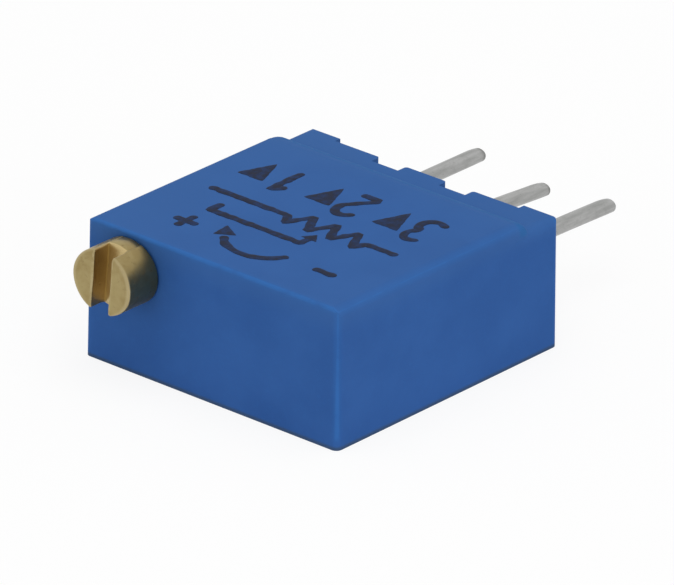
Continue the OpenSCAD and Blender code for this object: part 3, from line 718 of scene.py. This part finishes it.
dress(mouldedBlue(housingLook), "housing")
dress(pottingResin(resinLook), "potting_resin")
for name, (*values, wearers) in innerLook.items():
    dress(innerFinish(name, *values), *wearers)
print("finishes made")

# camera, angles in degrees and sizes in millimetres
viewLook = {
    "azimuth": 41.038, "elevation": 24.698, "roll": 0.606, "distance": 279.13, "lens": 523.51, "sensor": 36,
    "aimFromFront": 5.0, "aimHeight": 2.4, "aside": 0.274, "above": -0.608, "clip": (0.01, 10),
}


def makeCamera(look):
    turn, climb, roll = (math.radians(look[key]) for key in ("azimuth", "elevation", "roll"))
    back = Vector((math.sin(turn) * math.cos(climb), -math.cos(turn) * math.cos(climb), math.sin(climb)))
    level = Vector((0, 0, 1)).cross(back).normalized()
    upright = back.cross(level)
    right = math.cos(roll) * level + math.sin(roll) * upright
    up = back.cross(right)
    aim = Vector((0, bodyLow.y + look["aimFromFront"], look["aimHeight"]))
    place = aim + look["distance"] * back + look["aside"] * right + look["above"] * up
    camera = bpy.data.objects.new("camera", bpy.data.cameras.new("camera"))
    camera.data.lens, camera.data.sensor_width = look["lens"], look["sensor"]
    camera.data.clip_start, camera.data.clip_end = look["clip"]  # metres
    camera.matrix_world = Matrix.Translation(place * mm) @ Matrix((right, up, back)).transposed().to_4x4()
    bpy.context.collection.objects.link(camera)
    bpy.context.scene.camera = camera


# floor, lamps and surround in metres and watts: each lamp has its place, its width and height, and its power
studioLook = {
    "floorSize": 1.2, "floorCells": 12, "floorWhite": 0.98, "floorOwn": 0.85, "surround": 0.5,
    "lamps": {
        "overhead": ((0.05, -0.04, 0.34), (0.36, 0.36), 0.655),
        "leftBox": ((-0.12, -0.34, 0.08), (0.3, 0.15), 0.12),
        "rightBox": ((0.36, -0.04, 0.08), (0.3, 0.15), 0.22),
    },
}


def seenWhite(board, share):
    # share for the rays that should meet plain white, and 0 for the others
    ray = board.node("ShaderNodeLightPath", {}, {}, "Is Camera Ray", "Is Glossy Ray", "Is Transmission Ray")
    return (ray[0] + ray[1] + ray[2]).smaller(1.0) * share


def makeFloor(look):
    # flat grid at the foot of the object: rays that look at it meet mostly its own white, and the rest of it is
    # paint that takes the shadow
    cells, half = look["floorCells"], look["floorSize"] / 2
    edge = np.linspace(-half, half, cells + 1)
    x, y = np.meshgrid(edge, edge)
    places = np.stack([x.ravel(), y.ravel(), np.full(x.size, cadLow.z)], 1)
    corner = (np.arange(cells)[:, None] * (cells + 1) + np.arange(cells)).ravel()
    faces = corner[:, None] + np.array([0, 1, cells + 2, cells + 1])
    mesh = bpy.data.meshes.new("floor")
    mesh.from_pydata(places.tolist(), [], faces.tolist())
    floor = bpy.data.objects.new("floor", mesh)
    bpy.context.collection.objects.link(floor)
    material = bpy.data.materials.new("floor white")
    board = Board(material)
    paint = board.node("ShaderNodeBsdfDiffuse", {}, {"Color": (*[look["floorWhite"]] * 3, 1)})
    glow = board.node("ShaderNodeEmission", {}, {"Color": (1, 1, 1, 1), "Strength": 1.0})
    both = board.node("ShaderNodeMixShader", {}, {0: seenWhite(board, look["floorOwn"]), 1: paint, 2: glow})
    board.node("ShaderNodeOutputMaterial", {}, {"Surface": both})
    mesh.materials.append(material)


def makeLamps(look):
    for name, (spot, spread, power) in look["lamps"].items():
        lamp = bpy.data.lights.new(name, "AREA")
        lamp.shape, lamp.size, lamp.size_y, lamp.energy = "RECTANGLE", *spread, power
        made = bpy.data.objects.new(name, lamp)
        made.matrix_world = Matrix.Translation(spot) @ Vector(spot).to_track_quat("Z", "Y").to_matrix().to_4x4()
        made.visible_camera = made.visible_glossy = False
        bpy.context.collection.objects.link(made)


def makeSurround(look):
    world = bpy.data.worlds.new("surround")
    bpy.context.scene.world = world
    board = Board(world)
    strength = look["surround"] + seenWhite(board, 1.0 - look["surround"])
    light = board.node("ShaderNodeBackground", {}, {"Color": (1, 1, 1, 1), "Strength": strength})
    board.node("ShaderNodeOutputWorld", {}, {"Surface": light})


makeCamera(viewLook)
makeFloor(studioLook)
makeLamps(studioLook)
makeSurround(studioLook)
bpy.context.scene.view_settings.view_transform = "Standard"
print("camera and studio set")
